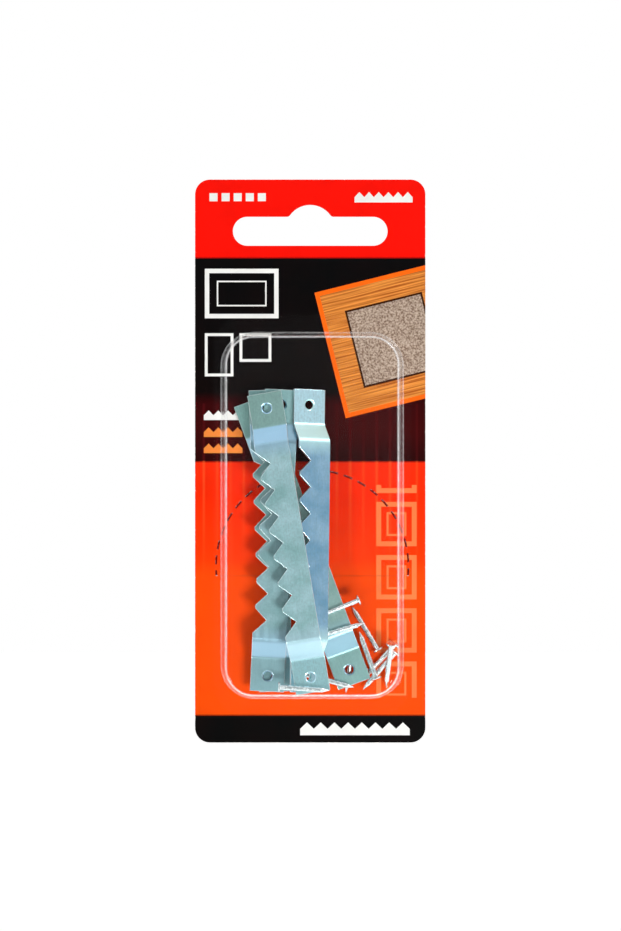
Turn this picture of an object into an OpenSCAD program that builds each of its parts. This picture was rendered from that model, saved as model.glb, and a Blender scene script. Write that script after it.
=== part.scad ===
// Carded pack of sawtooth picture hangers with their nails.
// Each piece is drawn lying on its back, with x to the right, y up the card and z out of its
// printed face, and is then stood up. The origin is the highest point of the hang slot, on the
// back of the card, where the shop's hook carries the pack.

/* [Card] */
// Width of the backing card
card_w = 57.15; // [54:0.05:62]
// Height of the backing card
card_h = 139.7; // [134:0.1:146]
// Thickness of the board
card_t = 0.55; // [0.4:0.05:0.8]
// Radius of the card's corners
card_r = 3.7; // [2:0.1:6]

/* [Hang slot] */
// Length of the slot from end to end
slot_w = 38.4; // [34:0.1:42]
// Height of the slot's straight bar
slot_h = 7.2; // [6:0.1:9]
// Radius of the dome that centres the hook
dome_r = 6.2; // [5.5:0.1:7]
// Rise of the dome above the bar
dome_rise = 2.95; // [2.4:0.05:3.5]
// Radius of the two corners where the dome meets the bar
dome_fillet = 1.0; // [0.5:0.1:1.5]
// Board left between the dome and the card's top edge
slot_land = 6.28; // [4.5:0.02:8]

/* [Door] */
// Radius of the door's perforated arc
door_r = 23.87; // [21:0.01:24.5]
// Height of the arc's centre over the card's bottom edge
door_up = 43.75; // [41:0.05:48]
// Distance from the arc's centre down to the score line that the door folds on
door_drop = 2.36; // [1.5:0.02:4]
// Width of the cut along the perforation
kerf = 0.3; // [0.2:0.02:0.4]
// Distance from one tie of the perforation to the next, along the arc
tie_pitch = 3.75; // [3:0.05:5]
// Width of a tie
tie_w = 1.5; // [1:0.05:2]
// Play between the door and the board at the ties and at the score line
door_play = 0.05; // [0.03:0.01:0.08]

/* [Blister] */
// Thickness of the clear sheet
film_t = 0.28; // [0.2:0.02:0.4]
// Width of the pocket at the card, outside
pocket_w = 45.0; // [43:0.1:46]
// Room in the pocket above the upright hangers
pocket_spare = 15.4; // [13:0.1:17]
// Corner radius of the pocket at the card
pocket_r = 8.2; // [6:0.1:10]
// Slope of the pocket's walls
draft = 4; // [3:0.5:7]
// Radius of the pocket's front edge
front_r = 1.5; // [1:0.1:2.2]
// Radius where the wall turns out into the flange
foot_r = 0.6; // [0.4:0.05:0.9]
// Room between the front of the stack and the pocket's front
front_play = 0.35; // [0.25:0.05:0.6]
// Distance of the pocket's middle to the right of the card's middle
pocket_x = 0.5; // [0:0.1:1]
// Height of the pocket over the card's bottom edge
pocket_up = 11.1; // [9:0.1:13]
// Width of the sealed flange beside the pocket
flange_side = 2.0; // [1.5:0.1:3]
// Width of the sealed flange over and under the pocket
flange_end = 4.4; // [3:0.1:6]

/* [Hanger] */
// Length of a hanger from end to end
strip_l = 74.6; // [70:0.1:78]
// Width of a hanger
strip_w = 8.45; // [7.6:0.05:9.2]
// Thickness of the steel
strip_t = 0.7; // [0.5:0.05:0.9]
// Height of the raised middle over the nailing tabs
step_h = 3.2; // [2.6:0.05:3.8]
// Slope of the risers between a tab and the middle
riser_a = 38; // [32:1:44]
// Inside radius of the bends
bend_r = 1.5; // [1:0.1:2]
// Flat length of a nailing tab, up to its bend
tab_l = 7.95; // [7:0.05:9]
// Diameter of a nail hole
hole_d = 2.15; // [1.8:0.05:2.5]
// Distance of a nail hole's centre from the hanger's end
hole_in = 3.8; // [3.4:0.1:4.4]
// Width of the rolled edge round a nail hole
hole_roll = 0.3; // [0.2:0.05:0.4]
// Depth of the rolled edge round a nail hole
hole_roll_d = 0.25; // [0.15:0.05:0.35]
// Number of notches in the toothed edge
notch_n = 7; // [5:1:7]
// Distance from one notch to the next
notch_pitch = 6.54; // [6.2:0.02:6.8]
// Depth of a notch, which is also half its width
notch_d = 3.23; // [2.6:0.01:3.3]
// Depth by which the teeth's points are blunted
tooth_blunt = 0.35; // [0.1:0.05:0.6]

/* [Nail] */
// Length of a nail with its head
nail_l = 12.7; // [12:0.1:13.4]
// Diameter of a nail's shank
shank_d = 1.25; // [1.05:0.05:1.45]
// Diameter of a nail's flat head
head_d = 2.6; // [2.2:0.05:2.9]
// Thickness of a nail's head
head_t = 0.45; // [0.3:0.05:0.6]
// Length of a nail's point
point_l = 1.9; // [1.4:0.1:2.4]

/* [Stack] */
// Air between pieces that rest on each other
rest_gap = 0.2; // [0.12:0.02:0.26]

/* [Hidden] */

// Overrun of a cutting shape past the faces that it cuts
over = card_t;
$fn = 64;

// Card: the edges as y values, and the middle of the slot's bar
card_top = slot_land;
card_foot = slot_land - card_h;
bar_top = -dome_rise;
bar_mid = bar_top - slot_h / 2;
dome_mid = -dome_r;

// Door: where its score line lies, and how far the arc turns below its centre on each side
door_y = card_foot + door_up;
score_y = door_y - door_drop;
arc_dip = asin(door_drop / door_r);
tie_turn = tie_pitch / door_r * 180 / PI;
tie_half_turn = tie_w / door_r * 90 / PI;
first_tie = tie_turn - arc_dip - tie_half_turn - tie_half_turn / 2;
tie_n = floor((180 + arc_dip - tie_half_turn - first_tie) / tie_turn) + 1;

// Hanger: the middle surface's bend radius, the riser's straight length and where things start
bend_mid = bend_r + strip_t / 2;
riser_l = (step_h - 2 * bend_mid * (1 - cos(riser_a))) / sin(riser_a);
body_from = tab_l + 2 * bend_mid * sin(riser_a) + riser_l * cos(riser_a);
riser_from = tab_l + bend_mid * tan(riser_a / 2);
riser_run = step_h / tan(riser_a);

// Pocket: its height outside, its floor inside at the card, and the corner arcs' centres
pocket_h = strip_l + pocket_spare + 2 * film_t;
pocket_y = card_foot + pocket_up + pocket_h / 2;
pocket_floor = card_foot + pocket_up + film_t / cos(draft);
inner_w = pocket_w - 2 * film_t;
arc_x = pocket_w / 2 - pocket_r;
arc_y = pocket_h / 2 - pocket_r;

// Turning a vector as rotate([a.x, a.y, a.z]) does, and back
function turn_x(v, a) = [v.x, v.y * cos(a) - v.z * sin(a), v.y * sin(a) + v.z * cos(a)];
function turn_y(v, a) = [v.x * cos(a) + v.z * sin(a), v.y, v.z * cos(a) - v.x * sin(a)];
function turn_z(v, a) = [v.x * cos(a) - v.y * sin(a), v.x * sin(a) + v.y * cos(a), v.z];
function turn(v, a) = turn_z(turn_y(turn_x(v, a.x), a.y), a.z);
function unturn(v, a) = turn_x(turn_y(turn_z(v, -a.z), -a.y), -a.x);

// How the five hangers lie, as the pack shows them. A hanger stands on the pocket's floor with
// its toothed edge to the left and its raised middle to the front. Each row holds its middle's
// place across the pocket as a share of the pocket's width, how far its lower end stands off
// the card as a share of the step, how far it stands over the floor as a share of a nail's
// shank, and its pitch, roll and tilt in degrees.
// Hanger 1 is the front one, 2 the rolled one at the right, 3 the rear one that lies aslant,
// 4 and 5 the two upright ones at the left.
lie_share = [
    [-0.128, 3.50, 0.05, -4.2, -5, 9.7],
    [-0.030, 2.20, 0.62, -3.0, 26, -2.0],
    [-0.055, 0.75, 1.20, -1.8, 0, 20.3],
    [-0.226, 0.65, 0.80, 0.4, 0, 2.0],
    [-0.207, 1.00, 0.78, 0.4, 0, -2.9],
];

function lie_turn(i) = [lie_share[i][3], lie_share[i][4], lie_share[i][5]];
// The lowest corner stands on the sloping floor
function lie_y(i) =
    let (
        a = lie_turn(i),
        low = min([for (s = [-1, 1]) turn([s * strip_w / 2, -strip_l / 2, 0], a).y])
    )
    pocket_floor + tan(draft) * lie_share[i][1] * step_h + lie_share[i][2] * shank_d
        + rest_gap - low;
function lie_place(i) = [pocket_x + lie_share[i][0] * pocket_w, lie_y(i), lie_turn(i)];

// Height of the sheet's middle over a tab's back, and half its thickness, at y along the hanger
function up_riser(y) = strip_l / 2 - abs(y) - riser_from;
function sheet_mid(y) = strip_t / 2 + min(step_h, max(0, up_riser(y) * tan(riser_a)));
function on_riser(y) = up_riser(y) > 0 && up_riser(y) < riser_run;
function sheet_half(y) = on_riser(y) ? strip_t / 2 / cos(riser_a) : strip_t / 2;
function sheet_z(y, side) = sheet_mid(y) + side * sheet_half(y);

// Points along both edges and the middle of a hanger's face, for side 1, or back, for side -1
edge_steps = 96;
function sheet_points(place, side) = [
    for (k = [0:edge_steps], e = [-1, 0, 1])
        let (y = strip_l * (k / edge_steps - 1 / 2))
        turn([e * strip_w / 2, y, sheet_z(y, side)], place[2]) + [place.x, place.y, 0]
];

// Height of a hanger's face or back over a point of the card, closed in on by steps, or undef
// where the hanger doesn't reach
edge_slack = strip_t / 100;
function sheet_over(place, p, side, z = 0, steps = 4) =
    let (
        q = unturn([p.x - place.x, p.y - place.y, z], place[2]),
        up = unturn([0, 0, 1], place[2])
    )
    steps > 0
        ? sheet_over(place, p, side, z + (sheet_z(q.y, side) - q.z) / up.z, steps - 1)
        : abs(q.x) < strip_w / 2 + edge_slack && abs(q.y) < strip_l / 2 + edge_slack
            ? z
            : undef;

// How far a hanger has to stand out over another one, or over the card, to lie on it
function over_sheet(top, low) = max(concat(
    [-strip_l],
    [
        for (p = sheet_points(top, -1))
            let (z = sheet_over(low, p, 1))
            if (z != undef) z - p.z
    ],
    [
        for (p = sheet_points(low, 1))
            let (z = sheet_over(top, p, -1))
            if (z != undef) p.z - z
    ]
));

// How the ten nails lie: the head's place across the pocket as a share of its width, its place
// over the floor as a share of a hanger's length, the way the point looks, and how far the
// point dips towards the card, both in degrees
head_dip = asin((head_d - shank_d) / 2 / nail_l);
nail_share = [
    [0.2585, 0.3264, 202.3, 0],
    [0.3642, 0.1547, 121.0, head_dip],
    [0.0122, 0.2013, 16.3, 0],
    [0.3525, 0.0619, 109.9, 6],
    [0.4600, 0.1772, 226.9, head_dip],
    [0.4600, 0.1524, 229.2, 8],
    [0.4324, 0.1830, 263.9, 27.5],
    [-0.0420, 0.0780, -14.8, 0],
    [-0.1844, 0.0432, -3.7, 0],
    [0.2273, 0.1800, 261.3, head_dip],
];
function nail_place(i) = [
    pocket_x + nail_share[i][0] * pocket_w,
    pocket_floor + nail_share[i][1] * strip_l,
    [nail_share[i][2], nail_share[i][3]],
];
// A point on the nail's axis at a distance s from the top of its head
function nail_axis(place, s) = [
    place.x + s * cos(place[2].y) * cos(place[2].x),
    place.y + s * cos(place[2].y) * sin(place[2].x),
    -s * sin(place[2].y),
];
function nail_radius(s) = s > head_t ? shank_d / 2 : head_d / 2;
// Points along the nail's upper side, for side 1, or its lower side, for side -1
nail_steps = 24;
nail_marks = concat([head_t], [for (k = [0:nail_steps]) nail_l * k / nail_steps]);
nail_lean = [-85, -60, -40, -20, 0, 20, 40, 60, 85];
function nail_points(place, side) = [
    for (s = nail_marks, a = nail_lean)
        let (
            r = nail_radius(s),
            heading = place[2].x
        )
        nail_axis(place, s)
            + [-sin(heading) * r * sin(a), cos(heading) * r * sin(a), side * r * cos(a)]
];
function nail_over_sheet(top, low) = max(concat(
    [-strip_l],
    [
        for (p = nail_points(top, -1))
            let (z = sheet_over(low, p, 1))
            if (z != undef) z - p.z
    ]
));
function sheet_over_nail(top, low) = max(concat(
    [-strip_l],
    [
        for (p = nail_points(low, 1))
            let (z = sheet_over(top, p, -1))
            if (z != undef) p.z - z
    ]
));
// Over another nail, by every pair of places along the two that come near each other as seen
// from the front
function nail_over_nail(top, low) = max(concat(
    [-strip_l],
    [
        for (s = nail_marks, t = nail_marks)
            let (
                a = nail_axis(top, s),
                b = nail_axis(low, t),
                reach = nail_radius(s) + nail_radius(t),
                aside = norm([a.x - b.x, a.y - b.y])
            )
            if (aside < reach) b.z - a.z + sqrt(reach * reach - aside * aside)
    ]
));

// The heap: the five hangers and then the ten nails, each as [is a nail, its place]
heap = concat(
    [for (i = [0:4]) [false, lie_place(i)]],
    [for (i = [0:9]) [true, nail_place(i)]]
);
// The order in which they came to rest, from the card outwards
order = [14, 9, 10, 6, 2, 3, 4, 8, 11, 12, 5, 7, 1, 0, 13];
function points_of(i, side) =
    heap[i][0] ? nail_points(heap[i][1], side) : sheet_points(heap[i][1], side);
function over_card(i) = card_t - min([for (p = points_of(i, -1)) p.z]);
function over(i, j) =
    let (top = heap[i], low = heap[j])
    top[0] && low[0] ? nail_over_nail(top[1], low[1])
    : top[0] ? nail_over_sheet(top[1], low[1])
    : low[0] ? sheet_over_nail(top[1], low[1])
    : over_sheet(top[1], low[1]);
// Each piece in its turn comes to lie on the card or on the pieces before it
function settle(k = 0, zs = []) =
    k == len(order)
        ? zs
        : settle(k + 1, concat(zs, [rest_gap + max(concat(
            [over_card(order[k])],
            [for (m = [0:1:k - 1]) zs[m] + over(order[k], order[m])]
        ))]));
settled = settle();
function rest_z(i) = settled[search(i, order)[0]];

// The pocket is drawn as deep as the heap in it needs
heap_top = max([for (i = [0:14]) rest_z(i) + max([for (p = points_of(i, 1)) p.z])]);
pocket_d = heap_top - card_t + front_play + film_t;

// Stands a piece up from its back
module stand() rotate([90, 0, 0]) children();

module rounded_rect(w, h, r) {
    square([w - 2 * r, h], center = true);
    square([w, h - 2 * r], center = true);
    for (x = [-1, 1], y = [-1, 1])
        translate([x * (w / 2 - r), y * (h / 2 - r)]) circle(r);
}

// Hang slot: a bar with round ends, and a dome whose corners are filleted into it
module hang_slot() {
    foot = bar_top - dome_mid;
    side = sqrt(pow(dome_r + dome_fillet, 2) - pow(foot + dome_fillet, 2));
    meet = dome_r / (dome_r + dome_fillet) * [side, foot + dome_fillet];
    translate([0, bar_mid]) {
        square([slot_w - slot_h, slot_h], center = true);
        for (x = [-1, 1]) translate([x * (slot_w - slot_h) / 2, 0]) circle(d = slot_h);
    }
    translate([0, dome_mid]) {
        intersection() {
            circle(dome_r);
            translate([-dome_r, foot - slot_h / 2]) square([2 * dome_r, slot_h + dome_r]);
        }
        for (s = [0, 1]) mirror([s, 0]) difference() {
            polygon([
                [0, foot - slot_h / 2], [side, foot - slot_h / 2],
                [side, foot + dome_fillet], meet,
            ]);
            translate([side, foot + dome_fillet]) circle(dome_fillet);
        }
    }
}

// The round of the door, cut off along its score line
module door_round(r, low) {
    intersection() {
        translate([pocket_x, door_y]) circle(r, $fn = 128);
        translate([pocket_x - 2 * r, low]) square(4 * r);
    }
}

module backing_card() {
    color("firebrick") stand() linear_extrude(card_t) difference() {
        translate([0, (card_top + card_foot) / 2]) rounded_rect(card_w, card_h, card_r);
        hang_slot();
        door_round(door_r + kerf / 2, score_y);
    }
}

// Door: the ties that hold it until it is pushed out stand on its edge
module card_door() {
    tie_l = kerf + door_r - door_r * cos(tie_half_turn);
    color("orangered") stand() linear_extrude(card_t) {
        door_round(door_r - kerf / 2, score_y + door_play);
        for (k = [0:tie_n - 1])
            translate([pocket_x, door_y]) rotate(first_tie + k * tie_turn)
                translate([door_r + kerf / 2 - door_play - tie_l, -tie_w / 2])
                    square([tie_l, tie_w]);
    }
}

// Section of the pocket's wall from a corner arc's centre outwards, as far as the flange: solid
// under its outer face for e = 0, under its inner face for e = film_t
module wall_section(e) {
    lean = film_t + foot_r;
    front_s = pocket_r - (pocket_d - front_r) * tan(draft) - front_r / cos(draft);
    foot_s = pocket_r - lean * tan(draft) + foot_r / cos(draft);
    edge_r = front_r - e;
    bend = foot_r + e;
    base_s = pocket_r - e / cos(draft);
    polygon([
        [0, 0], [base_s, 0],
        [front_s + edge_r * cos(draft), pocket_d - front_r + edge_r * sin(draft)],
        [front_s, pocket_d - front_r], [front_s, pocket_d - e], [0, pocket_d - e],
    ]);
    intersection() {
        translate([front_s, pocket_d - front_r]) circle(edge_r);
        translate([0, pocket_d / 2]) square([pocket_r, pocket_d]);
    }
    difference() {
        polygon([
            [0, 0], [foot_s, 0], [foot_s, lean],
            [foot_s - bend * cos(draft), lean - bend * sin(draft)], [0, lean - bend * sin(draft)],
        ]);
        translate([foot_s, lean]) circle(bend);
    }
}

module wall_band() {
    difference() {
        wall_section(0);
        translate([-over, -over]) square([pocket_r + foot_r + over, over]);
        wall_section(film_t);
    }
}

module blister() {
    lean = film_t + foot_r;
    foot_s = pocket_r - lean * tan(draft) + foot_r / cos(draft);
    color([0.85, 0.9, 0.95, 0.35]) stand() translate([pocket_x, pocket_y, card_t]) {
        linear_extrude(film_t) difference() {
            rounded_rect(pocket_w + 2 * flange_side, pocket_h + 2 * flange_end, pocket_r);
            rounded_rect(2 * (arc_x + foot_s), 2 * (arc_y + foot_s), foot_s);
        }
        translate([-arc_x, -arc_y, pocket_d - film_t]) cube([2 * arc_x, 2 * arc_y, film_t]);
        for (q = [0:3]) {
            long = q % 2 == 0 ? 2 * arc_y : 2 * arc_x;
            rotate(90 * q) translate([q % 2 == 0 ? arc_x : arc_y, 0]) {
                translate([0, long / 2]) rotate([90, 0, 0]) linear_extrude(long) wall_band();
                translate([0, long / 2]) rotate_extrude(angle = 90) wall_band();
            }
        }
    }
}

// What lies between a bend's arc and the corner of the two stretches that it joins, seen from
// the arc's centre. The arc reaches a hair past the flats, so that it runs into them cleanly.
bend_slack = strip_t / 1000;
module bend_corner(r) {
    difference() {
        polygon([
            [0, 0], [0, r], (r + strip_t) * [tan(riser_a / 2), 1], r * [sin(riser_a), cos(riser_a)],
        ]);
        circle(r + bend_slack);
    }
}

// The four bends of a hanger, each with the arc of radius r about its centre
module bends(r) {
    for (s = [0, 1]) mirror([s, 0]) {
        translate([strip_l / 2 - body_from, -bend_r]) bend_corner(r);
        translate([strip_l / 2 - tab_l, strip_t - step_h + bend_r]) rotate(180) bend_corner(r);
    }
}

// A hanger seen from its side: straight stretches with sharp corners, rounded by the bends
module side_outline() {
    body_end = strip_l / 2 - body_from;
    tab_end = strip_l / 2 - tab_l;
    inner = bend_r * tan(riser_a / 2);
    outer = (bend_r + strip_t) * tan(riser_a / 2);
    difference() {
        union() {
            polygon([
                for (s = [1, -1]) each [
                    for (k = s > 0 ? [0:1:3] : [3:-1:0])
                        [
                            [s * (body_end + outer), strip_t],
                            [s * (tab_end - inner), strip_t - step_h],
                            [s * strip_l / 2, strip_t - step_h],
                            [s * strip_l / 2, -step_h],
                        ][k]
                ],
            ]);
            bends(bend_r);
        }
        polygon([
            [body_end + inner, 0], [tab_end - outer, -step_h], [tab_end - outer, -2 * step_h],
            [outer - tab_end, -2 * step_h], [outer - tab_end, -step_h], [-body_end - inner, 0],
        ]);
        bends(bend_r + strip_t);
    }
}

// A hanger seen from its face, with its toothed edge to the left
module face_outline() {
    edge = -strip_w / 2;
    span = (notch_n - 1) * notch_pitch;
    difference() {
        translate([edge, -strip_l / 2]) square([strip_w, strip_l]);
        for (k = [0:notch_n - 1])
            translate([edge, k * notch_pitch - span / 2])
                polygon([
                    [-over, -notch_d - over], [notch_d, 0], [-over, notch_d + over],
                ]);
        translate([edge - over, -span / 2]) square([over + tooth_blunt, span]);
    }
}

module hanger_blank() {
    difference() {
        intersection() {
            translate([-strip_w / 2, 0, step_h]) rotate([90, 0, 90])
                linear_extrude(strip_w) side_outline();
            linear_extrude(step_h + strip_t) face_outline();
        }
        for (s = [-1, 1]) translate([0, s * (strip_l / 2 - hole_in), 0]) {
            translate([0, 0, -over]) cylinder(h = strip_t + 2 * over, d = hole_d);
            translate([0, 0, strip_t - hole_roll_d])
                cylinder(h = hole_roll_d, d1 = hole_d, d2 = hole_d + 2 * hole_roll);
        }
    }
}

module hanger(i) {
    place = lie_place(i);
    color([0.55, 0.66, 0.68]) stand()
        translate([place.x, place.y, rest_z(i)]) rotate(place[2]) hanger_blank();
}

// A nail along its axis, from the top of its head
module nail_blank() {
    bevel = head_t / 4;
    rotate_extrude() polygon([
        [0, 0], [head_d / 2 - bevel, 0], [head_d / 2, bevel], [head_d / 2, head_t - bevel],
        [head_d / 2 - bevel, head_t], [shank_d / 2 + bevel, head_t],
        [shank_d / 2, head_t + bevel], [shank_d / 2, nail_l - point_l], [0, nail_l],
    ]);
}

module nail(i) {
    place = nail_place(i);
    color([0.78, 0.82, 0.82]) stand()
        translate([place.x, place.y, rest_z(i + 5)])
            rotate([0, 90 + place[2].y, place[2].x]) nail_blank();
}

backing_card();
card_door();
blister();
hanger(0);  // hanger_1
hanger(1);  // hanger_2
hanger(2);  // hanger_3
hanger(3);  // hanger_4
hanger(4);  // hanger_5
nail(0);  // nail_1
nail(1);  // nail_2
nail(2);  // nail_3
nail(3);  // nail_4
nail(4);  // nail_5
nail(5);  // nail_6
nail(6);  // nail_7
nail(7);  // nail_8
nail(8);  // nail_9
nail(9);  // nail_10
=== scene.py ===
# %% [markdown]
# # A carded pack of sawtooth picture hangers
# The object is a small shop pack: a printed board that hangs from a slot, a clear blister sealed
# on its face, and five toothed hangers with ten nails lying loose in it. The shapes come from
# the CAD model, which is loaded as a fixed frame in metres. What Blender adds is how each
# thing looks: ink on board, clear film, zinc on stamped steel.

# %% Load the frame
import math
import bpy
from mathutils import Euler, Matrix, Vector


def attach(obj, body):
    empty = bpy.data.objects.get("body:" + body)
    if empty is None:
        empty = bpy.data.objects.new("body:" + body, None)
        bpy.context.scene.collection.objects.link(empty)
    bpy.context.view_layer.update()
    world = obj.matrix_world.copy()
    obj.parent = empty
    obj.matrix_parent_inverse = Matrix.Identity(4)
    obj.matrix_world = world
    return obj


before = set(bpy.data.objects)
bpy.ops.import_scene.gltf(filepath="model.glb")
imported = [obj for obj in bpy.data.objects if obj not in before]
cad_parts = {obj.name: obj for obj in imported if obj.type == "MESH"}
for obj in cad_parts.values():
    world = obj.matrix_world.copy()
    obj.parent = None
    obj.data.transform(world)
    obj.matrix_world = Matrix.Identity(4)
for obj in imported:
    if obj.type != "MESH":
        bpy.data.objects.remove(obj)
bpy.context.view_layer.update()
MM = 0.001

# %% [markdown]
# ## Camera
# The pack is seen square on, from about 0.9 m. A long lens keeps the hangers, which stand
# nearer to the camera than the card, almost the size that they have. The height of the
# picture at the card decides the lens, so it is worked out from that and not guessed.

# %% Camera
CARD_FACE = -0.55 * MM
DISTANCE = 900 * MM
PICTURE_HEIGHT = 231.0 * MM
PICTURE_MIDDLE_X, PICTURE_MIDDLE_Z = 0.07 * MM, -64.67 * MM
SENSOR_HEIGHT = 36.0  # Blender takes the sensor and the lens in millimetres
camera_data = bpy.data.cameras.new("camera")
camera_data.sensor_fit = "VERTICAL"
camera_data.sensor_height = SENSOR_HEIGHT
camera_data.lens = SENSOR_HEIGHT * DISTANCE / PICTURE_HEIGHT
camera = bpy.data.objects.new("camera", camera_data)
camera.location = (PICTURE_MIDDLE_X, CARD_FACE - DISTANCE, PICTURE_MIDDLE_Z)
camera.rotation_euler = (math.radians(90), 0, 0)
bpy.context.scene.collection.objects.link(camera)
bpy.context.scene.camera = camera
print("lens %.1f mm" % camera_data.lens)

# %% [markdown]
# ## Helpers for materials
# Colours are written as sRGB hex values, as a paint program shows them, and one function turns
# them to the linear values that the renderer adds and multiplies. Every material is a tree of
# nodes, so one small function adds a node, sets it up and links what goes into it. Inputs go
# by name or by number: a Map Range takes its value at 0, the range it comes from at 1 and 2,
# and the range it goes to at 3 and 4. A noise repeats as often as its scale says in each unit
# of its coordinates, so a pattern of a known size has the scale 1 / size.

# %% Colour and node helpers
MATH, VECTOR_MATH, RANGE = "ShaderNodeMath", "ShaderNodeVectorMath", "ShaderNodeMapRange"
MIX, RAMP, SPLIT = "ShaderNodeMix", "ShaderNodeValToRGB", "ShaderNodeSeparateXYZ"
NOISE, MAPPING, BUMP = "ShaderNodeTexNoise", "ShaderNodeMapping", "ShaderNodeBump"
COORDINATES, OUTPUT = "ShaderNodeTexCoord", "ShaderNodeOutputMaterial"
WHITE_LIGHT = (1, 1, 1, 1)


def linear(colour):
    """Linear red, green, blue and alpha of an sRGB hex colour."""
    parts = [int(colour[i:i + 2], 16) / 255 for i in (1, 3, 5)]
    return tuple(p / 12.92 if p <= 0.04045 else ((p + 0.055) / 1.055) ** 2.4 for p in parts) + (1,)


def add(tree, kind, inputs=None, **settings):
    """Adds a node: an input that comes from a node is linked, any other one is set."""
    made = tree.nodes.new(kind)
    for name, value in settings.items():
        setattr(made, name, value)
    for key, value in (inputs or {}).items():
        if isinstance(value, bpy.types.NodeSocket):
            tree.links.new(value, made.inputs[key])
        else:
            made.inputs[key].default_value = value
    return made


def new_material(name):
    material = bpy.data.materials.new(name)
    material.use_nodes = True
    tree = material.node_tree
    tree.nodes.clear()
    return material, tree


print("orange in linear", [round(v, 3) for v in linear("#f75a14")[:3]])

# %% [markdown]
# ## The design printed on the card
# A shop card is offset printed: flat inks with crisp edges, a few solid bands and small
# motifs. Ink has no thickness to speak of, so it belongs in the material and not in the mesh.
# A printer cuts a plate for each ink. Here a plate is a value of 1 where the ink goes, worked
# out from the place on the card in millimetres, so every edge stays sharp however near the
# camera comes.

# %% Places and plates on the card, in millimetres
ANY_DEPTH = 1e3  # a printed box goes through the whole sheet
board, board_tree = new_material("offset_printed_board")
place_m = add(board_tree, COORDINATES).outputs["Object"]
place = add(board_tree, VECTOR_MATH, {0: place_m, 1: (1 / MM,) * 3}, operation="MULTIPLY").outputs[0]
across, depth, height = add(board_tree, SPLIT, {0: place}).outputs


def box_distance(centre, half, turn=0.0, at=None):
    """Distance from the rim of a printed box, below zero inside it."""
    t = board_tree
    moved = add(t, VECTOR_MATH, {0: place if at is None else at, 1: (centre[0], 0, centre[1])},
                operation="SUBTRACT").outputs[0]
    if turn:
        moved = add(t, "ShaderNodeVectorRotate", {"Vector": moved, "Angle": math.radians(turn)},
                    rotation_type="Y_AXIS").outputs[0]
    folded = add(t, VECTOR_MATH, {0: moved}, operation="ABSOLUTE").outputs[0]
    over = add(t, VECTOR_MATH, {0: folded, 1: (half[0], ANY_DEPTH, half[1])}, operation="SUBTRACT").outputs[0]
    sides = add(t, SPLIT, {0: over})
    return add(t, MATH, {0: sides.outputs["X"], 1: sides.outputs["Z"]}, operation="MAXIMUM").outputs[0]


def box_plate(centre, half, line=None, turn=0.0, at=None):
    """The plate of a printed box: solid, or only its rim as a line of the given width."""
    distance = box_distance(centre, half, turn, at)
    if line is None:
        return add(board_tree, MATH, {0: distance, 1: 0.0}, operation="LESS_THAN").outputs[0]
    return add(board_tree, MATH, {0: distance, 1: 0.0, 2: line / 2}, operation="COMPARE").outputs[0]


def join_plates(operation, *plates):
    """One plate from several: MULTIPLY keeps where they overlap, MAXIMUM prints them all."""
    result = plates[0]
    for other in plates[1:]:
        result = add(board_tree, MATH, {0: result, 1: other}, operation=operation).outputs[0]
    return result


def inked(under, plate, colour, strength=1.0):
    """Prints a colour over another one where the plate is."""
    if strength != 1.0:
        plate = add(board_tree, MATH, {0: plate, 1: strength}, operation="MULTIPLY").outputs[0]
    return add(board_tree, MIX, {0: plate, 6: under, 7: colour}, data_type="RGBA").outputs[2]


# %% [markdown]
# ### The bands
# From the top: a red header, a black field that turns to a dark maroon, a field that runs
# from red to orange, and a black foot. A colour ramp over the height holds them all: its
# stops lie where one ink meets the next, in millimetres, turned to the ramp's 0 to 1.

# %% Bands
BAND_TOP, BAND_FOOT = 7.0, -134.0
BANDS = [
    (6.9, "#fc1206"), (-13.3, "#fc1004"), (-13.31, "#020304"), (-46.5, "#040101"),
    (-49.5, "#340002"), (-56.0, "#3a0203"), (-63.5, "#260001"), (-63.51, "#f62c08"),
    (-72.0, "#fc2a00"), (-88.0, "#fe3a00"), (-92.0, "#fe4a02"), (-126.3, "#f44c02"),
    (-126.31, "#010101"), (-133.9, "#000000"),
]


def fill_ramp(ramp, stops):
    """Gives a ramp its stops, each a place from 0 to 1 with a colour, and returns its colour."""
    elements = ramp.color_ramp.elements
    while len(elements) < len(stops):
        elements.new(0.5)
    for element, (where, colour) in zip(elements, stops):
        element.position, element.color = where, colour
    return ramp.outputs[0]


down_card = add(board_tree, RANGE, {0: height, 1: BAND_TOP, 2: BAND_FOOT, 3: 0.0, 4: 1.0}).outputs[0]
ink = fill_ramp(add(board_tree, RAMP, {0: down_card}), [
    ((BAND_TOP - z) / (BAND_TOP - BAND_FOOT), linear(colour)) for z, colour in BANDS
])
print("bands", 1 + sum(upper - lower < 0.02 for (upper, _), (lower, _) in zip(BANDS, BANDS[1:])))

# %% [markdown]
# ### Stripes in the warm field
# The red field has faint lighter stripes, 3.3 mm apart and 1 mm wide, that die away downwards
# as the red turns to orange, and the maroon has the same ones in red. A ping-pong of the place
# across gives the stripes. Noise that is 2 mm wide and far taller than the card makes some of
# them stronger than others, and the height fades them.

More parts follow.
